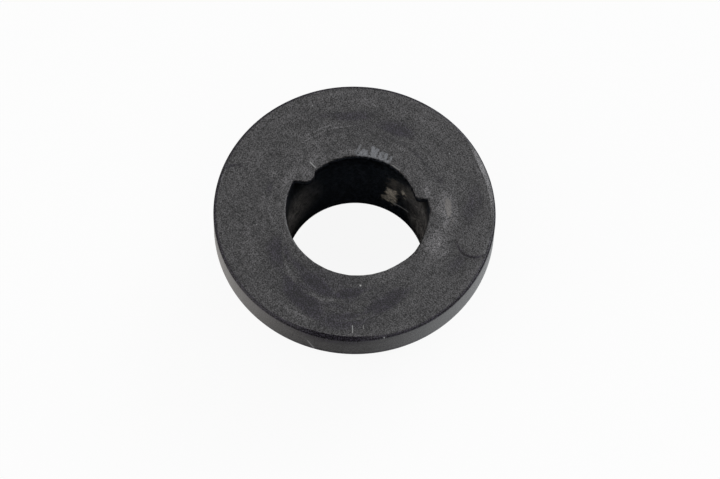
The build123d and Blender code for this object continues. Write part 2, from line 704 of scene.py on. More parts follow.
class NodeWriter:
    """Writes shader nodes from short calls, with sizes in millimetres."""

    def __init__(self, name: str) -> None:
        """Starts an empty material.

        Args:
            name: Name of the material.
        """
        self.material = bpy.data.materials.new(name)
        self.material.use_nodes = True
        self.tree = self.material.node_tree
        self.tree.nodes.clear()

    def node(self, kind: str, **settings: object) -> bpy.types.Node:
        """Adds a node and sets its own settings.

        Args:
            kind: Blender's name of the node, without its ShaderNode prefix.
            **settings: Attributes of the node.

        Returns:
            The node.
        """
        made = self.tree.nodes.new("ShaderNode" + kind)
        for key, value in settings.items():
            setattr(made, key, value)
        return made

    def feed(self, socket: Socket, value: object) -> None:
        """Links a socket to another, or sets its value.

        Args:
            socket: The socket that takes the value.
            value: Another node's output, or a plain value.
        """
        if isinstance(value, bpy.types.NodeSocket):
            self.tree.links.new(value, socket)
        else:
            socket.default_value = value

    def math(self, operation: str, *values: Value) -> Socket:
        """Works out one number from others.

        Args:
            operation: Blender's name of the operation.
            *values: The numbers it works on.

        Returns:
            The result.
        """
        made = self.node("Math", operation=operation)
        for socket, value in zip(made.inputs, values):
            self.feed(socket, value)
        return made.outputs[0]

    def vector(self, operation: str, *values: object, out: int = 0) -> Socket:
        """Works out one vector, or a length, from vectors.

        Args:
            operation: Blender's name of the operation.
            *values: The vectors it works on.
            out: Which output to take: 0 for the vector, 1 for a number.

        Returns:
            The result.
        """
        made = self.node("VectorMath", operation=operation)
        for socket, value in zip(made.inputs, values):
            self.feed(socket, value)
        return made.outputs[out]

    def scale(self, vector: object, share: Value) -> Socket:
        """Scales a vector or a colour by a number.

        Args:
            vector: The vector or colour.
            share: The number.

        Returns:
            The scaled vector.
        """
        made = self.node("VectorMath", operation="SCALE")
        self.feed(made.inputs[0], vector)
        self.feed(made.inputs["Scale"], share)
        return made.outputs[0]

    def ramp(
        self, value: Value, low: float, high: float, start: float = 0.0, end: float = 1.0
    ) -> Socket:
        """Turns a number smoothly from start to end as it goes from low to high.

        Args:
            value: The number.
            low: Where the change starts.
            high: Where the change ends. It may be smaller than low.
            start: The result before the change.
            end: The result after the change.

        Returns:
            The result.
        """
        made = self.node("MapRange", interpolation_type="SMOOTHSTEP")
        self.feed(made.inputs["Value"], value)
        if low > high:
            low, high, start, end = high, low, end, start
        limits = {"From Min": low, "From Max": high, "To Min": start, "To Max": end}
        for key, number in limits.items():
            made.inputs[key].default_value = number
        return made.outputs["Result"]

    def noise(
        self, place: Socket, per_mm: float, detail: float, rough: float, seed: float
    ) -> Socket:
        """Soft random pattern.

        Args:
            place: The place, in millimetres.
            per_mm: How many spots there are per millimetre.
            detail: How many finer patterns are added.
            rough: How strong the finer patterns are.
            seed: Which of all such patterns it is.

        Returns:
            A number round 0.5.
        """
        made = self.node("TexNoise", noise_dimensions="4D")
        self.feed(made.inputs["Vector"], place)
        made.inputs["W"].default_value = seed
        made.inputs["Scale"].default_value = per_mm
        made.inputs["Detail"].default_value = detail
        made.inputs["Roughness"].default_value = rough
        return made.outputs["Fac"]

    def warped(self, place: Socket, per_mm: float, reach: Point) -> Socket:
        """Shifts places at random, so that clean shapes turn ragged there.

        Args:
            place: The place, in millimetres.
            per_mm: How many bends there are per millimetre.
            reach: How far the shift swings along x, y and z, in millimetres.

        Returns:
            The shifted place.
        """
        made = self.node("TexNoise", noise_dimensions="3D")
        self.feed(made.inputs["Vector"], place)
        made.inputs["Scale"].default_value = per_mm
        made.inputs["Detail"].default_value = 2.0
        shift = self.vector("SUBTRACT", made.outputs["Color"], (0.5, 0.5, 0.5))
        return self.vector("MULTIPLY_ADD", shift, reach, place)

    def swing(self, value: Socket, amount: float, limit: float) -> Socket:
        """Widens a noise's swing round its middle, up to a limit on both sides.

        Args:
            value: The noise.
            amount: How many times the swing grows.
            limit: The most that the result may be.

        Returns:
            A number round zero.
        """
        wide = self.math("MULTIPLY", self.math("SUBTRACT", value, 0.5), amount)
        return self.math("MAXIMUM", self.math("MINIMUM", wide, limit), -limit)

    def blend(self, share: Value, first: object, second: object) -> Socket:
        """Mixes two colours.

        Args:
            share: How much of the second colour there is.
            first: The first colour.
            second: The second colour.

        Returns:
            The mixed colour.
        """
        made = self.node("Mix", data_type="RGBA", clamp_factor=True)
        self.feed(made.inputs[0], share)
        self.feed(made.inputs[6], first)
        self.feed(made.inputs[7], second)
        return made.outputs[2]

    def largest(self, values: list[Socket]) -> Socket:
        """Takes the largest of several numbers.

        Args:
            values: The numbers.

        Returns:
            The largest.
        """
        top = values[0]
        for value in values[1:]:
            top = self.math("MAXIMUM", top, value)
        return top

    def attribute(self, name: str) -> Socket:
        """Reads a number that the mesh carries under that name."""
        return self.node("Attribute", attribute_name=name).outputs["Fac"]


@dataclass(frozen=True)
class Pattern:
    """Soft random pattern: spots per millimetre, finer detail, its strength and a seed."""

    per_mm: float
    detail: float
    rough: float
    seed: float

    def at(self, nodes: NodeWriter, place: Socket) -> Socket:
        """The pattern's value at a place in millimetres, round 0.5."""
        return nodes.noise(place, self.per_mm, self.detail, self.rough, self.seed)


@dataclass(frozen=True)
class Places:
    """Sockets that say where on the bushing a point is, in millimetres and degrees.

    The bore's radius is taken from the bore's axis. The flat place, the radius, the angle
    and the direction are taken from the flange's centre, over gently bent ground, so that
    the flow marks wander. The last socket is one on the face and zero below it.
    """

    point: Socket
    z: Socket
    bore_radius: Socket
    flat: Socket
    radius: Socket
    angle: Socket
    around: Socket
    face: Socket

    @staticmethod
    def apart(nodes: NodeWriter, point: Socket) -> tuple[Socket, Socket, Socket]:
        """Takes a point apart.

        Args:
            nodes: Where its nodes go.
            point: The point.

        Returns:
            Its x, y and z.
        """
        split = nodes.node("SeparateXYZ")
        nodes.feed(split.inputs[0], point)
        return tuple(split.outputs)

    @staticmethod
    def flattened(nodes: NodeWriter, point: Socket) -> tuple[Socket, Socket]:
        """Drops a point's height.

        Args:
            nodes: Where its nodes go.
            point: The point.

        Returns:
            The flat point, and its distance from the upright axis.
        """
        flat = nodes.vector("MULTIPLY", point, (1.0, 1.0, 0.0))
        return flat, nodes.vector("LENGTH", flat, out=1)

    @classmethod
    def of(cls, nodes: NodeWriter) -> "Places":
        """Writes the nodes that find a point's place.

        Args:
            nodes: Where the nodes go.

        Returns:
            The places.
        """
        point = nodes.scale(nodes.node("TexCoord").outputs["Object"], 1.0 / MM)
        _, _, z = cls.apart(nodes, point)
        _, bore_radius = cls.flattened(nodes, point)
        bent = nodes.warped(point, *FLOW_BENDS)
        centred = nodes.vector("ADD", bent, (-FLANGE_X, -FLANGE_Y, 0.0))
        x, y, _ = cls.apart(nodes, centred)
        flat, radius = cls.flattened(nodes, centred)
        angle = nodes.math("DEGREES", nodes.math("ARCTAN2", y, x))
        angle = nodes.math("WRAP", angle, 360.0, 0.0)
        around = nodes.vector("NORMALIZE", flat)
        face = nodes.ramp(z, *FACE_FADE)
        return cls(point, z, bore_radius, flat, radius, angle, around, face)


@dataclass(frozen=True)
class Stroke:
    """Straight stroke between two points, in millimetres: a scratch, a scuff or dirt."""

    start: Point
    end: Point
    width: float
    strength: float
    core: float = 0.35

    def mask(self, nodes: NodeWriter, place: Socket) -> Socket:
        """How much of the stroke is at each place.

        Args:
            nodes: Where its nodes go.
            place: The place, in millimetres.

        Returns:
            Its strength on the stroke's line, falling to zero beside it.
        """
        run = Vector(self.end) - Vector(self.start)
        heading = tuple(run.normalized())
        away = nodes.vector("SUBTRACT", place, self.start)
        along = nodes.vector("DOT_PRODUCT", away, heading, out=1)
        along = nodes.math("MINIMUM", nodes.math("MAXIMUM", along, 0.0), run.length)
        gap = nodes.vector("DISTANCE", away, nodes.scale(heading, along), out=1)
        return nodes.ramp(gap, self.width, self.width * self.core, 0.0, self.strength)


@dataclass(frozen=True)
class Spot:
    """Round spot, such as a grain of dust or a pale patch, in millimetres."""

    centre: Point
    radius: float
    strength: float
    core: float = 0.4

    def mask(self, nodes: NodeWriter, place: Socket) -> Socket:
        """How much of the spot is at each place.

        Args:
            nodes: Where its nodes go.
            place: The place, in millimetres.

        Returns:
            Its strength in the spot's core, falling to zero at its radius.
        """
        gap = nodes.vector("DISTANCE", place, self.centre, out=1)
        return nodes.ramp(gap, self.radius, self.radius * self.core, 0.0, self.strength)


@dataclass(frozen=True)
class FlowPool:
    """Oval zone in a tone of its own. It draws flow marks where the plastic flowed
    together and set, rubbed patches, and broad painted sheen and shade on the face.

    Lengths in millimetres from the flange's centre, and the turn in degrees.
    """

    x: float
    y: float
    half_length: float
    half_width: float
    turn: float
    strength: float
    edge: Span = (1.25, 0.15)

    def mask(self, nodes: NodeWriter, flat: Socket) -> Socket:
        """How much of the zone is at each place.

        Args:
            nodes: Where its nodes go.
            flat: The place across the face, in millimetres.

        Returns:
            Its strength in the middle, falling to zero past its edge.
        """
        placed = nodes.node("Mapping", vector_type="TEXTURE")
        nodes.feed(placed.inputs["Vector"], flat)
        placed.inputs["Location"].default_value = (self.x, self.y, 0.0)
        placed.inputs["Rotation"].default_value = (0.0, 0.0, math.radians(self.turn))
        placed.inputs["Scale"].default_value = (self.half_length, self.half_width, 1.0)
        out = nodes.vector("LENGTH", placed.outputs[0], out=1)
        return nodes.ramp(out, *self.edge, 0.0, self.strength)


@dataclass(frozen=True)
class FlowLine:
    """Flow mark in the face: an arc that falls away from its peak on both sides.

    Angles are in degrees and radii in millimetres, from the flange's centre.
    """

    peak_angle: float
    peak_radius: float
    fall_before: float
    fall_after: float
    reach_before: float
    reach_after: float
    width: float
    strength: float
    bend: float = 5.0
    solid: float = 0.5

    def mask(self, nodes: NodeWriter, angle: Socket, radius: Socket) -> Socket:
        """How much of the mark is at each place.

        Args:
            nodes: Where its nodes go.
            angle: Angle round the flange, from 0 to 360 degrees.
            radius: Distance from the flange's centre, in millimetres.

        Returns:
            Its strength on the arc, falling to zero beside it and at its ends.
        """
        turn = nodes.math("SUBTRACT", angle, self.peak_angle)
        turn = nodes.math("WRAP", turn, 180.0, -180.0)
        ends = []
        gap = nodes.math("SUBTRACT", radius, self.peak_radius)
        after = (1.0, self.fall_after, self.reach_after)
        before = (-1.0, self.fall_before, self.reach_before)
        for side, fall, reach in (after, before):
            along = nodes.math("MAXIMUM", nodes.math("MULTIPLY", turn, side), 0.0)
            eased = nodes.math("MULTIPLY_ADD", along, along, self.bend**2)
            eased = nodes.math("SUBTRACT", nodes.math("SQRT", eased), self.bend)
            gap = nodes.math("MULTIPLY_ADD", eased, fall, gap)
            ends.append(nodes.ramp(along, reach, reach * self.solid))
        gap = nodes.math("ABSOLUTE", gap)
        line = nodes.ramp(gap, self.width, 0.0, 0.0, self.strength)
        return nodes.math("MULTIPLY", nodes.math("MULTIPLY", line, ends[0]), ends[1])


@dataclass(frozen=True)
class MouldedPlastic:
    """Black moulded plastic with flow marks, grain, scuffs, specks and a little dirt, and
    with painted shade and highlights on its edges, face and bore.
    """

    black: float = 0.043
    darkest: float = 0.003
    tint: Colour = (1.0, 0.965, 1.0, 1.0)
    pool_tint: Colour = (1.05, 0.90, 1.30, 1.0)
    pool_tint_stops: Span = (-0.2, -1.8)
    # Painted shade: the bore's wall is painted near black with a blue cast
    inside: Colour = (0.006, 0.0095, 0.015, 1.0)
    rub: Colour = (0.165, 0.155, 0.147, 1.0)
    scuff: Point = (0.155, 0.160, 0.172)
    dust: Colour = (0.45, 0.45, 0.45, 1.0)
    pale_side: Colour = (0.40, 0.375, 0.355, 1.0)
    dirt: Colour = (0.76, 0.68, 0.57, 1.0)
    ior: float = 1.5
    roughness: float = 0.36
    polish: float = -0.08
    scuff_roughness: float = 0.15
    grain_roughness: float = 0.02
    bump_strength: float = 0.45
    bump_depth: float = 0.006

    # Grain: its pattern, how far off its own mean is taken, and how strong it shows
    fine: Pattern = Pattern(12.0, 0.0, 0.5, 4.2)
    fine_apart: float = 0.085
    fine_swing: Span = (8.0, 2.2)
    grain_share: float = 0.40
    grain_least: float = 0.007
    grain_on_scuff: float = 0.12
    grain_in_bore: float = 0.25

    # Flow marks, and the edges' painted shade and highlights: each stop doubles the tone,
    # or halves it below zero
    light_stops: float = 1.5
    dark_stops: float = -2.5
    painted_shade_stops: float = -2.2
    painted_highlight_stops: float = 1.9
    cloud: Pattern = Pattern(0.45, 3.0, 0.6, 1.7)
    cloud_swing: Span = (1.2, 0.4)
    light_breaks: Change = (0.25, 0.6, 0.65, 1.1)
    streak: Pattern = Pattern(1.3, 3.0, 0.65, 6.3)
    streak_swing: Span = (2.0, 0.6)
    streak_around: Point = (2.2, 2.2, 0.0)
    streak_out: float = 1.5

    # Rubbed patch: how ragged it is, and how far its colour covers the plastic
    rub_pattern: Pattern = Pattern(2.4, 3.0, 0.7, 3.3)
    rub_breaks: Change = (0.30, 0.62, 0.5, 1.2)
    rub_cover: Change = (0.22, 0.55, 0.0, 0.62)

    # Inside the bore: where it starts, its painted shade, its paler sides, and the dirt
    bore_wall: Span = (6.62, 6.48)
    bore_top: Span = (12.12, 11.95)
    bore_shade_cover: float = 0.8
    mottled: Pattern = Pattern(1.6, 4.0, 0.7, 8.1)
    pale_side_breaks: Change = (0.32, 0.66, 0.30, 1.0)
    coarse: Pattern = Pattern(4.0, 2.0, 0.7, 9.3)
    coarse_swing: Span = (9.0, 0.9)
    least_uneven: float = 0.15
    powder: Pattern = Pattern(2.2, 4.0, 0.75, 5.5)
    crust_warp: Warp = (1.6, (1.5, 1.5, 2.2))
    crust_breaks: Change = (0.34, 0.60, 0.15, 1.0)

    # Scuff on the lip
    scuff_warp: Warp = (3.5, (0.34, 0.34, 0.0))
    scuff_stretch: Point = (2.6, 0.9, 1.0)
    scuff_pattern: Pattern = Pattern(2.2, 3.0, 0.65, 2.0)
    scuff_breaks: Change = (0.30, 0.55, 0.60, 1.0)

    light_lines: tuple[FlowLine, ...] = (
        FlowLine(250.0, 9.28, 0.062, 0.050, 62.0, 46.0, 0.27, 0.70, 9.0),
        FlowLine(266.0, 10.95, 0.10, 0.082, 5.0, 36.0, 0.26, 0.55),
        FlowLine(246.0, 11.42, 0.0, 0.0, 16.0, 12.0, 0.20, 0.42),
        FlowLine(108.0, 8.46, 0.004, 0.006, 26.0, 26.0, 0.11, 0.65),
        FlowLine(118.0, 8.86, 0.004, 0.008, 24.0, 18.0, 0.10, 0.50),
        FlowLine(100.0, 7.72, 0.0, 0.0, 26.0, 22.0, 0.10, 0.30),
        FlowLine(40.0, 7.5, 0.0, 0.0, 26.0, 26.0, 0.18, 0.35),
        FlowLine(172.0, 7.62, 0.0, 0.0, 22.0, 24.0, 0.13, 0.35),
        FlowLine(176.0, 8.3, 0.0, 0.0, 20.0, 18.0, 0.12, 0.25),
    )
    dark_lines: tuple[FlowLine, ...] = (
        FlowLine(75.0, 8.02, 0.0, 0.0, 60.0, 60.0, 0.18, 0.30),
        FlowLine(34.0, 8.02, 0.0, 0.0, 30.0, 26.0, 0.14, 0.30),
        FlowLine(175.0, 7.95, 0.0, 0.0, 22.0, 24.0, 0.13, 0.22),
        FlowLine(86.0, 9.0, 0.0, 0.02, 24.0, 22.0, 0.35, 0.30),
    )
    # Flow marks, which also paint the sheen that lies on the face to the left and right of
    # the bore
    light_pools_and_sheen: tuple[FlowPool, ...] = (
        FlowPool(8.2, 0.4, 2.5, 1.15, 95.0, 0.80),
        FlowPool(6.5, 2.2, 0.9, 0.45, 112.0, 0.70),
        FlowPool(7.5, -2.9, 2.4, 1.3, 66.0, 0.58),
        FlowPool(8.1, -3.9, 0.8, 0.35, 42.0, 0.40),
        FlowPool(3.9, 10.0, 1.2, 0.55, 18.0, 0.35),
        FlowPool(0.9, 11.0, 1.7, 0.75, 4.0, 0.20),
        FlowPool(-7.5, 3.6, 0.55, 0.40, 100.0, 0.60),
        FlowPool(-6.0, 3.0, 1.6, 0.60, 58.0, 0.60),
        FlowPool(-4.6, 3.8, 0.8, 0.60, 0.0, 0.40),
        FlowPool(-3.8, 5.4, 0.9, 0.45, 50.0, 0.40),
        FlowPool(-0.7, 5.95, 1.5, 0.28, 6.0, 0.60),
        FlowPool(-6.0, -9.3, 2.4, 0.60, -40.0, 0.14),
        FlowPool(-9.5, -3.4, 3.2, 1.3, -68.0, 0.10),
        FlowPool(6.4, 9.0, 2.4, 1.0, -40.0, 0.22),
        FlowPool(3.0, -6.4, 1.8, 0.7, 28.0, 0.20),
    )
    # Flow marks, with broad painted shade over the front and back of the face
    dark_pools_and_shade: tuple[FlowPool, ...] = (
        FlowPool(-6.6, -4.5, 2.3, 1.15, -68.0, 0.60),
        FlowPool(-4.4, -8.7, 3.1, 1.15, -48.0, 1.0),
        FlowPool(-3.2, -7.3, 2.4, 0.85, -34.0, 1.0),
        FlowPool(-0.3, -8.3, 1.7, 0.78, 12.0, 1.0),
        FlowPool(3.0, -8.9, 3.0, 1.0, 34.0, 0.88),
        FlowPool(-0.6, -10.8, 3.2, 1.20, 0.0, 0.50),
        FlowPool(-4.6, -5.9, 1.6, 0.60, -45.0, 0.50),
        FlowPool(3.6, 8.4, 2.1, 0.95, -22.0, 0.62),
        FlowPool(-0.9, 9.5, 3.0, 0.85, 2.0, 0.50),
        # Broad painted shade over the back and the front of the face
        FlowPool(0.8, 8.2, 5.0, 1.7, 0.0, 0.16),
        FlowPool(-2.6, -7.4, 6.5, 3.2, -12.0, 0.26),
        FlowPool(-10.4, 0.6, 2.6, 1.0, 86.0, 0.08),
        FlowPool(10.6, 1.2, 2.8, 1.1, 82.0, 0.35),
        FlowPool(9.3, -4.7, 1.8, 0.75, 60.0, 0.40),
        FlowPool(-7.7, 1.9, 1.1, 0.45, 90.0, 0.35),
        FlowPool(7.7, 3.2, 0.7, 0.35, 115.0, 0.35),
    )
    rubbed: tuple[FlowPool, ...] = (
        FlowPool(8.42, 0.75, 1.15, 0.42, 94.0, 0.95),
        FlowPool(8.75, -0.7, 0.9, 0.30, 70.0, 0.35),
    )
    scratches: tuple[Stroke, ...] = (
        Stroke((-0.10, -11.40, FACE), (-0.08, -12.05, FACE), 0.065, 0.50),
        Stroke((0.87, -11.34, FACE), (0.89, -11.66, FACE), 0.06, 0.30),
        Stroke((-4.43, 4.62, FACE), (-3.92, 4.09, FACE), 0.08, 0.45),
        Stroke((-4.05, -12.2, 10.6), (-3.50, -12.4, 9.4), 0.11, 0.45),
        Stroke((3.44, 5.40, 2.5), (4.68, 4.36, 3.0), 0.13, 1.0),
        Stroke((2.99, 4.62, 12.15), (3.73, 4.09, 12.15), 0.09, 0.30),
    )
    scuff_strokes: tuple[Stroke, ...] = (
        Stroke((-0.32, 5.70, FACE), (0.15, 6.50, FACE), 0.17, 0.55),
        Stroke((0.08, 5.62, FACE), (0.44, 5.98, FACE), 0.22, 0.90),
        Stroke((0.50, 5.50, FACE), (0.62, 5.84, FACE), 0.26, 0.95),
        Stroke((1.21, 5.40, FACE), (1.25, 6.26, FACE), 0.27, 1.00),
        Stroke((1.42, 5.40, FACE), (1.62, 6.10, FACE), 0.24, 1.00),
        Stroke((1.85, 5.25, FACE), (2.04, 5.72, FACE), 0.24, 0.90),
        Stroke((2.37, 5.05, FACE), (2.47, 5.68, FACE), 0.22, 0.90),
        Stroke((2.74, 4.85, FACE), (2.95, 5.38, FACE), 0.13, 0.70),
        Stroke((-0.10, 5.45, FACE), (1.21, 5.34, FACE), 0.22, 0.95),
        Stroke((1.21, 5.34, FACE), (2.62, 4.88, FACE), 0.26, 0.95),
    )
    specks: tuple[Spot, ...] = (
        Spot((-4.40, 10.38, FACE), 0.09, 0.40),
        Spot((5.91, 10.04, FACE), 0.07, 0.35),
        Spot((8.17, 5.95, FACE), 0.08, 0.40),
        Spot((-9.00, -1.81, FACE), 0.08, 0.35),
        Spot((0.49, -7.47, FACE), 0.11, 0.75),
        Spot((2.74, -12.40, 12.1), 0.10, 0.60),
        Spot((-6.38, 0.52, 12.15), 0.08, 0.55),
    )
    crust: tuple[Stroke, ...] = (
        Stroke((3.10, 5.60, 2.6), (3.20, 5.54, 4.8), 0.76, 1.0),
        Stroke((3.20, 5.54, 5.0), (3.35, 5.45, 7.0), 0.75, 0.16),
        Stroke((2.75, 5.78, 2.6), (2.90, 5.71, 3.4), 0.70, 0.60),
        Stroke((4.05, 4.96, 5.6), (4.20, 4.83, 6.0), 0.45, 0.80),
        Stroke((3.30, 5.48, 5.6), (4.50, 4.55, 7.0), 1.20, 0.09),
    )
    # Paler mottled patches on the bore's left and right walls
    pale_bore_sides: tuple[Spot, ...] = (
        Spot((6.05, 2.10, 3.0), 3.4, 1.0, 0.1),
        Spot((6.20, 1.60, 6.0), 5.2, 0.66, 0.0),
        Spot((-6.10, 1.90, 5.0), 5.2, 0.68, 0.0),
    )

    def material(self) -> bpy.types.Material:
        """Writes the finish as one node material.

        Returns:
            The material.
        """
        nodes = NodeWriter("moulded_plastic")
        places = Places.of(nodes)
        grain = self.grain(nodes, places)
        stops = self.stops(nodes, places)
        tone = nodes.math("POWER", 2.0, stops)
        tone = nodes.math("MULTIPLY", tone, self.black)
        swing = nodes.math("MULTIPLY_ADD", tone, self.grain_share, self.grain_least)
        tone = nodes.math("MULTIPLY_ADD", grain, swing, tone)
        tone = nodes.math("MAXIMUM", tone, self.darkest)
        in_pool = nodes.ramp(stops, *self.pool_tint_stops)
        tint = nodes.blend(in_pool, self.tint, self.pool_tint)
        colour = self.soil(nodes, places, grain, nodes.scale(tint, tone))
        scuffed = self.scuffed(nodes, places)
        uneven = nodes.math("MULTIPLY_ADD", grain, self.grain_on_scuff, 1.0)
        colour = nodes.blend(scuffed, colour, nodes.scale(self.scuff, uneven))
        marks = [scratch.mask(nodes, places.point) for scratch in self.scratches]
        marks += [speck.mask(nodes, places.point) for speck in self.specks]
        colour = nodes.blend(nodes.largest(marks), colour, self.dust)

        # Smoother where the edges are painted with shade, and rougher where scuffed
        wear = nodes.math("MULTIPLY", nodes.attribute("painted_shade"), self.polish)
        wear = nodes.math("MULTIPLY_ADD", scuffed, self.scuff_roughness, wear)
        rough = nodes.math("MULTIPLY_ADD", grain, self.grain_roughness, self.roughness)
        rough = nodes.math("ADD", rough, wear)
        bump = nodes.node("Bump")
        bump.inputs["Strength"].default_value = self.bump_strength
        bump.inputs["Distance"].default_value = self.bump_depth * MM
        nodes.feed(bump.inputs["Height"], grain)

        shader = nodes.node("BsdfPrincipled")
        nodes.feed(shader.inputs["Base Color"], colour)
        nodes.feed(shader.inputs["Roughness"], rough)
        nodes.feed(shader.inputs["Normal"], bump.outputs[0])
        shader.inputs["IOR"].default_value = self.ior
        out = nodes.node("OutputMaterial")
        nodes.feed(out.inputs["Surface"], shader.outputs[0])
        return nodes.material

    def grain(self, nodes: NodeWriter, places: Places) -> Socket:
        """Fine grain that is as strong in its lights as in its darks.

        The noise's own mean over four places close by is taken off it, so that
        only its finest part is left.

        Args:
            nodes: Where the nodes go.
            places: Where on the bushing each point is.

        Returns:
            A number round zero.
        """
        fine = self.fine.at(nodes, places.point)
        for side in FOUR_SIDES:
            shift = tuple(step * self.fine_apart for step in side)
            beside = self.fine.at(nodes, nodes.vector("ADD", places.point, shift))
            fine = nodes.math("MULTIPLY_ADD", beside, -1.0 / len(FOUR_SIDES), fine)
        return nodes.swing(nodes.math("ADD", fine, 0.5), *self.fine_swing)

    def stops(self, nodes: NodeWriter, places: Places) -> Socket:
        """How much lighter or darker than plain black each place is.

        Args:
            nodes: Where the nodes go.
            places: Where on the bushing each point is.

        Returns:
            Steps, each of which doubles the colour, or halves it below zero.
        """
        cloud = self.cloud.at(nodes, places.point)
        light = self.flow(nodes, places, self.light_lines, self.light_pools_and_sheen)
        light = nodes.math("MULTIPLY", light, nodes.ramp(cloud, *self.light_breaks))
        flow = nodes.math("MULTIPLY", light, self.light_stops)
        dark = self.flow(nodes, places, self.dark_lines, self.dark_pools_and_shade)
        flow = nodes.math("MULTIPLY_ADD", dark, self.dark_stops, flow)
        out = nodes.node("CombineXYZ")
        nodes.feed(out.inputs[2], nodes.math("MULTIPLY", places.radius, self.streak_out))
        coiled = nodes.vector(
            "MULTIPLY_ADD", places.around, self.streak_around, out.outputs[0]
        )
        streaks = nodes.swing(self.streak.at(nodes, coiled), *self.streak_swing)
        flow = nodes.math("ADD", flow, streaks)
        cloud = nodes.swing(cloud, *self.cloud_swing)
        total = nodes.math("MULTIPLY_ADD", flow, places.face, cloud)
        # Painted shade darkens the edges and painted highlights pale them, by the numbers
        # that the mesh carries
        painted_shade, painted_highlight = nodes.attribute("painted_shade"), nodes.attribute("painted_highlight")
        total = nodes.math("MULTIPLY_ADD", painted_shade, self.painted_shade_stops, total)
        return nodes.math("MULTIPLY_ADD", painted_highlight, self.painted_highlight_stops, total)

    @staticmethod
    def flow(
        nodes: NodeWriter,
        places: Places,
        lines: tuple[FlowLine, ...],
        pools: tuple[FlowPool, ...],
    ) -> Socket:
        """Lays flow lines and pools over each other.

        Args:
            nodes: Where the nodes go.
            places: Where on the bushing each point is.
            lines: The lines.
            pools: The pools.

        Returns:
            The strongest of them at each place.
        """
        masks = [line.mask(nodes, places.angle, places.radius) for line in lines]
        masks += [pool.mask(nodes, places.flat) for pool in pools]
        return nodes.largest(masks)

    def soil(
        self, nodes: NodeWriter, places: Places, grain: Socket, plain: Socket
    ) -> Socket:
        """Lays the rubbed patches on the face, and inside the bore the painted shade, the
        paler sides and the dirt.

        Args:
            nodes: Where the nodes go.
            places: Where on the bushing each point is.
            grain: The fine grain.
            plain: The plastic's own colour.

        Returns:
            The colour with all of that on it.
        """
        rubbed = nodes.largest([pool.mask(nodes, places.flat) for pool in self.rubbed])
        rubbed = nodes.math("MULTIPLY", rubbed, places.face)
        ragged = nodes.ramp(self.rub_pattern.at(nodes, places.point), *self.rub_breaks)
        rubbed = nodes.ramp(nodes.math("MULTIPLY", rubbed, ragged), *self.rub_cover)
        colour = nodes.blend(rubbed, plain, self.rub)

        # Painted shade: the bore's wall is painted near black where it lies in shade
        bore = nodes.ramp(places.bore_radius, *self.bore_wall)
        bore = nodes.math("MULTIPLY", bore, nodes.ramp(places.z, *self.bore_top))
        covered = nodes.math("MULTIPLY", bore, self.bore_shade_cover)
        colour = nodes.blend(covered, colour, self.inside)
        # Paler mottled patches on the bore's left and right walls
        pale_side = nodes.largest([spot.mask(nodes, places.point) for spot in self.pale_bore_sides])
        mottled = nodes.ramp(self.mottled.at(nodes, places.point), *self.pale_side_breaks)
        pale_side = nodes.math("MULTIPLY", pale_side, mottled)
        colour = nodes.blend(nodes.math("MULTIPLY", pale_side, bore), colour, self.pale_side)
        coarse = nodes.swing(self.coarse.at(nodes, places.point), *self.coarse_swing)
        coarse = nodes.math("MULTIPLY_ADD", grain, self.grain_in_bore, coarse)
        uneven = nodes.math("MULTIPLY_ADD", coarse, bore, 1.0)
        colour = nodes.scale(colour, nodes.math("MAXIMUM", uneven, self.least_uneven))
        crumbly = nodes.warped(places.point, *self.crust_warp)
        crust = nodes.largest([clump.mask(nodes, crumbly) for clump in self.crust])
        powder = nodes.ramp(self.powder.at(nodes, places.point), *self.crust_breaks)
        crust = nodes.math("MULTIPLY", crust, powder)
        return nodes.blend(nodes.math("MULTIPLY", crust, bore), colour, self.dirt)

    def scuffed(self, nodes: NodeWriter, places: Places) -> Socket:
        """Pale scuff on the lip, in strokes that point away from the bore.

        Args:
            nodes: Where the nodes go.
            places: Where on the bushing each point is.

        Returns:
            How scuffed each place is.
        """
        frayed = nodes.warped(places.point, *self.scuff_warp)
        strokes = [stroke.mask(nodes, frayed) for stroke in self.scuff_strokes]
        stretched = nodes.vector("MULTIPLY", frayed, self.scuff_stretch)
        streaks = nodes.ramp(self.scuff_pattern.at(nodes, stretched), *self.scuff_breaks)
        mask = nodes.math("MULTIPLY", nodes.largest(strokes), streaks)
        return nodes.math("MULTIPLY", mask, places.face)


@dataclass(frozen=True)
class PhotoCamera:
    """Camera at the photograph's viewing angle.

    Lengths in millimetres, angles in degrees, and the clip in metres.
    """

    frame_width: float = 720.0
    frame_height: float = 479.0
    aim: Point = (FLANGE_X, FLANGE_Y, FACE)
    aim_px: float = 354.6
    aim_py: float = 210.9
    distance: float = 317.5
    pixels_per_radian: float = 3532.5
    elevation: float = 64.4
    roll: float = 1.9
    sensor: float = 36.0
    clip: Span = (0.01, 10.0)

    def build(self) -> bpy.types.Object:
        """Places the camera and makes it the scene's own.

        Returns:
            The camera.
        """
        tilt, turn = math.radians(self.elevation), math.radians(self.roll)
        back = Vector((0.0, -math.cos(tilt), math.sin(tilt)))
        level = Vector((1.0, 0.0, 0.0))
        rise = Vector((0.0, math.sin(tilt), math.cos(tilt)))
        right = level * math.cos(turn) + rise * math.sin(turn)
        up = rise * math.cos(turn) - level * math.sin(turn)
        spot = (Vector(self.aim) + back * self.distance) * MM
        data = bpy.data.cameras.new("photo_camera")
        data.sensor_width = self.sensor
        data.lens = self.pixels_per_radian * self.sensor / self.frame_width
        data.shift_x = (self.frame_width / 2.0 - self.aim_px) / self.frame_width
        data.shift_y = (self.aim_py - self.frame_height / 2.0) / self.frame_width
        data.clip_start, data.clip_end = self.clip
        camera = bpy.data.objects.new("photo_camera", data)
        turned = Matrix((right, up, back)).transposed().to_4x4()
        camera.matrix_world = Matrix.Translation(spot) @ turned
        bpy.context.scene.collection.objects.link(camera)
        bpy.context.scene.camera = camera
        return camera


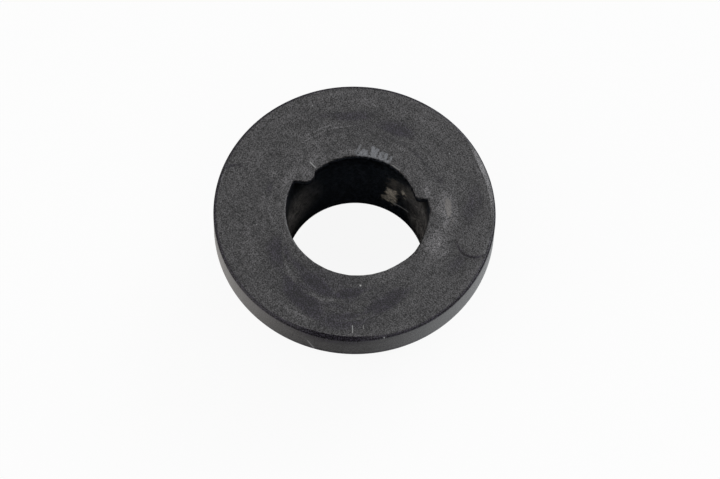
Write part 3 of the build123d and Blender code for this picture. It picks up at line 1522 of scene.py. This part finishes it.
@dataclass(frozen=True)
class SoftBox:
    """Rectangular soft lamp that faces the bushing.

    Lengths in metres, angles in degrees.
    """

    name: str
    azimuth: float
    elevation: float
    distance: float
    width: float
    height: float
    radiance: float
    tint: Point = (1.0, 1.0, 1.0)
    glossy: bool = True
    aim_height: float = 0.012

    def build(self) -> bpy.types.Object:
        """Hangs the lamp.

        Returns:
            The lamp.
        """
        turn, tilt = math.radians(self.azimuth), math.radians(self.elevation)
        across = math.cos(tilt)
        out = Vector((math.cos(turn) * across, math.sin(turn) * across, math.sin(tilt)))
        data = bpy.data.lights.new(self.name, "AREA")
        data.shape = "RECTANGLE"
        data.size, data.size_y = self.width, self.height
        data.energy = self.radiance * math.pi * self.width * self.height
        data.color = self.tint
        lamp = bpy.data.objects.new(self.name, data)
        lamp.location = out * self.distance + Vector((0.0, 0.0, self.aim_height))
        lamp.rotation_mode = "QUATERNION"
        lamp.rotation_quaternion = out.to_track_quat("Z", "Y")
        lamp.visible_glossy = self.glossy
        bpy.context.scene.collection.objects.link(lamp)
        return lamp


@dataclass(frozen=True)
class Studio:
    """Pale floor, dim room and soft lamps.

    The floor's size and drop are in metres, and the zones on it in millimetres.
    """

    floor_size: float = 3.0
    floor_drop: float = 0.00002
    floor_colour: Colour = (0.80, 0.80, 0.80, 1.0)
    # Painted shadow: the floor is painted dark under the barrel
    shadow_under_barrel: Colour = (0.06, 0.06, 0.06, 1.0)
    # Reflections of the floor are painted warm at the left and cool at the right
    warm: Colour = (1.0, 0.965, 0.93, 1.0)
    cool: Colour = (0.96, 0.985, 1.0, 1.0)
    camera_glow: float = 0.92
    # Painted shadow seen in reflections: the floor's glow for glossy rays is dimmed in
    # front of the bushing, under it, far off and towards the back
    shade_centre: Point = (-2.5, -15.0, 0.0)
    shade_radii: Span = (2.0, 19.0)
    shade_levels: Span = (0.20, 0.95)
    contact: Span = (10.5, 14.5)
    far_fade: Change = (30.0, 110.0, 1.0, 0.4)
    back_fade: Change = (2.0, 12.0, 1.0, 0.2)
    warm_to_cool: Span = (-14.0, 14.0)
    under_barrel: Span = (6.8, 10.0)
    room_light: float = 0.08
    lamps: tuple[SoftBox, ...] = (
        SoftBox("softbox_above", 90.0, 72.0, 0.50, 1.80, 1.10, 0.50),
        SoftBox("softbox_fill", 270.0, 58.0, 0.60, 0.80, 0.60, 1.10, glossy=False),
        SoftBox("softbox_right", 48.0, 34.0, 0.60, 0.30, 0.50, 3.2, (0.95, 0.98, 1.0)),
        SoftBox("softbox_left", 200.0, 30.0, 0.60, 0.30, 0.30, 1.6, (1.0, 0.97, 0.93)),
    )

    def floor_material(self) -> bpy.types.Material:
        """Pale floor that looks white past the bushing's shadow, with painted shadow in
        its reflections and under the barrel.

        Returns:
            The floor's material.
        """
        nodes = NodeWriter("studio_floor")
        place = nodes.scale(nodes.node("TexCoord").outputs["Object"], 1.0 / MM)
        radius = nodes.vector("LENGTH", place, out=1)
        # Painted shadow for glossy rays: dimmer in front of the bushing, under it, far off
        # and towards the back
        shade = nodes.vector("DISTANCE", place, self.shade_centre, out=1)
        mirrored = nodes.ramp(shade, *self.shade_radii, *self.shade_levels)
        x, y, _ = Places.apart(nodes, place)
        fades = (
            nodes.ramp(radius, *self.contact),
            nodes.ramp(radius, *self.far_fade),
            nodes.ramp(y, *self.back_fade),
        )
        for fade in fades:
            mirrored = nodes.math("MULTIPLY", mirrored, fade)
        path = nodes.node("LightPath").outputs
        seen = nodes.math("MAXIMUM", path["Is Camera Ray"], path["Is Transmission Ray"])
        # Painted reflection tint: warm at the left and cool at the right, for glossy rays
        # alone
        tint = nodes.blend(nodes.ramp(x, *self.warm_to_cool), self.warm, self.cool)
        tint = nodes.blend(seen, tint, WHITE)
        diffuse = nodes.node("BsdfDiffuse")
        # Painted shadow: the floor is dark under the barrel
        open_floor = nodes.ramp(radius, *self.under_barrel)
        paint = nodes.blend(open_floor, self.shadow_under_barrel, self.floor_colour)
        nodes.feed(diffuse.inputs["Color"], paint)
        glow = nodes.node("Emission")
        nodes.feed(glow.inputs["Color"], tint)
        nodes.feed(glow.inputs["Strength"], nodes.math("MAXIMUM", seen, mirrored))
        mix = nodes.node("MixShader")
        share = nodes.math("MULTIPLY", seen, self.camera_glow)
        share = nodes.math("MAXIMUM", share, path["Is Glossy Ray"])
        nodes.feed(mix.inputs[0], share)
        nodes.feed(mix.inputs[1], diffuse.outputs[0])
        nodes.feed(mix.inputs[2], glow.outputs[0])
        out = nodes.node("OutputMaterial")
        nodes.feed(out.inputs["Surface"], mix.outputs[0])
        return nodes.material

    def build(self) -> bpy.types.Object:
        """Lays the floor, hangs the lamps and dims the room.

        Returns:
            The floor.
        """
        half, low = self.floor_size / 2.0, -self.floor_drop
        mesh = bpy.data.meshes.new("studio_floor")
        flat = ((-half, -half), (half, -half), (half, half), (-half, half))
        corners = [(x, y, low) for x, y in flat]
        mesh.from_pydata(corners, [], [(0, 1, 2, 3)])
        floor = bpy.data.objects.new("studio_floor", mesh)
        bpy.context.scene.collection.objects.link(floor)
        mesh.materials.append(self.floor_material())
        for lamp in self.lamps:
            LOG.info("lamp: %s", lamp.build().name)
        bpy.context.scene.world = self.room()
        return floor

    def room(self) -> bpy.types.World:
        """Makes a dim room, which looks white to the camera alone.

        Returns:
            The world.
        """
        world = bpy.data.worlds.new("studio_room")
        world.use_nodes = True
        tree = world.node_tree
        background = tree.nodes["Background"]
        background.inputs["Color"].default_value = WHITE
        path = tree.nodes.new("ShaderNodeLightPath")
        level = tree.nodes.new("ShaderNodeMath")
        level.operation = "MAXIMUM"
        level.inputs[1].default_value = self.room_light
        tree.links.new(path.outputs["Is Camera Ray"], level.inputs[0])
        tree.links.new(level.outputs[0], background.inputs["Strength"])
        return world


def main() -> None:
    """Builds the camera, the studio and the bushing."""
    logging.basicConfig(level=logging.INFO, format="%(name)s: %(message)s")
    bpy.context.scene.view_settings.view_transform = "Standard"
    LOG.info("camera: %s", PhotoCamera().build().name)
    LOG.info("floor: %s", Studio().build().name)
    LOG.info("piece: %s", Bushing().build(MouldedPlastic()).name)


if __name__ == "__main__":
    main()
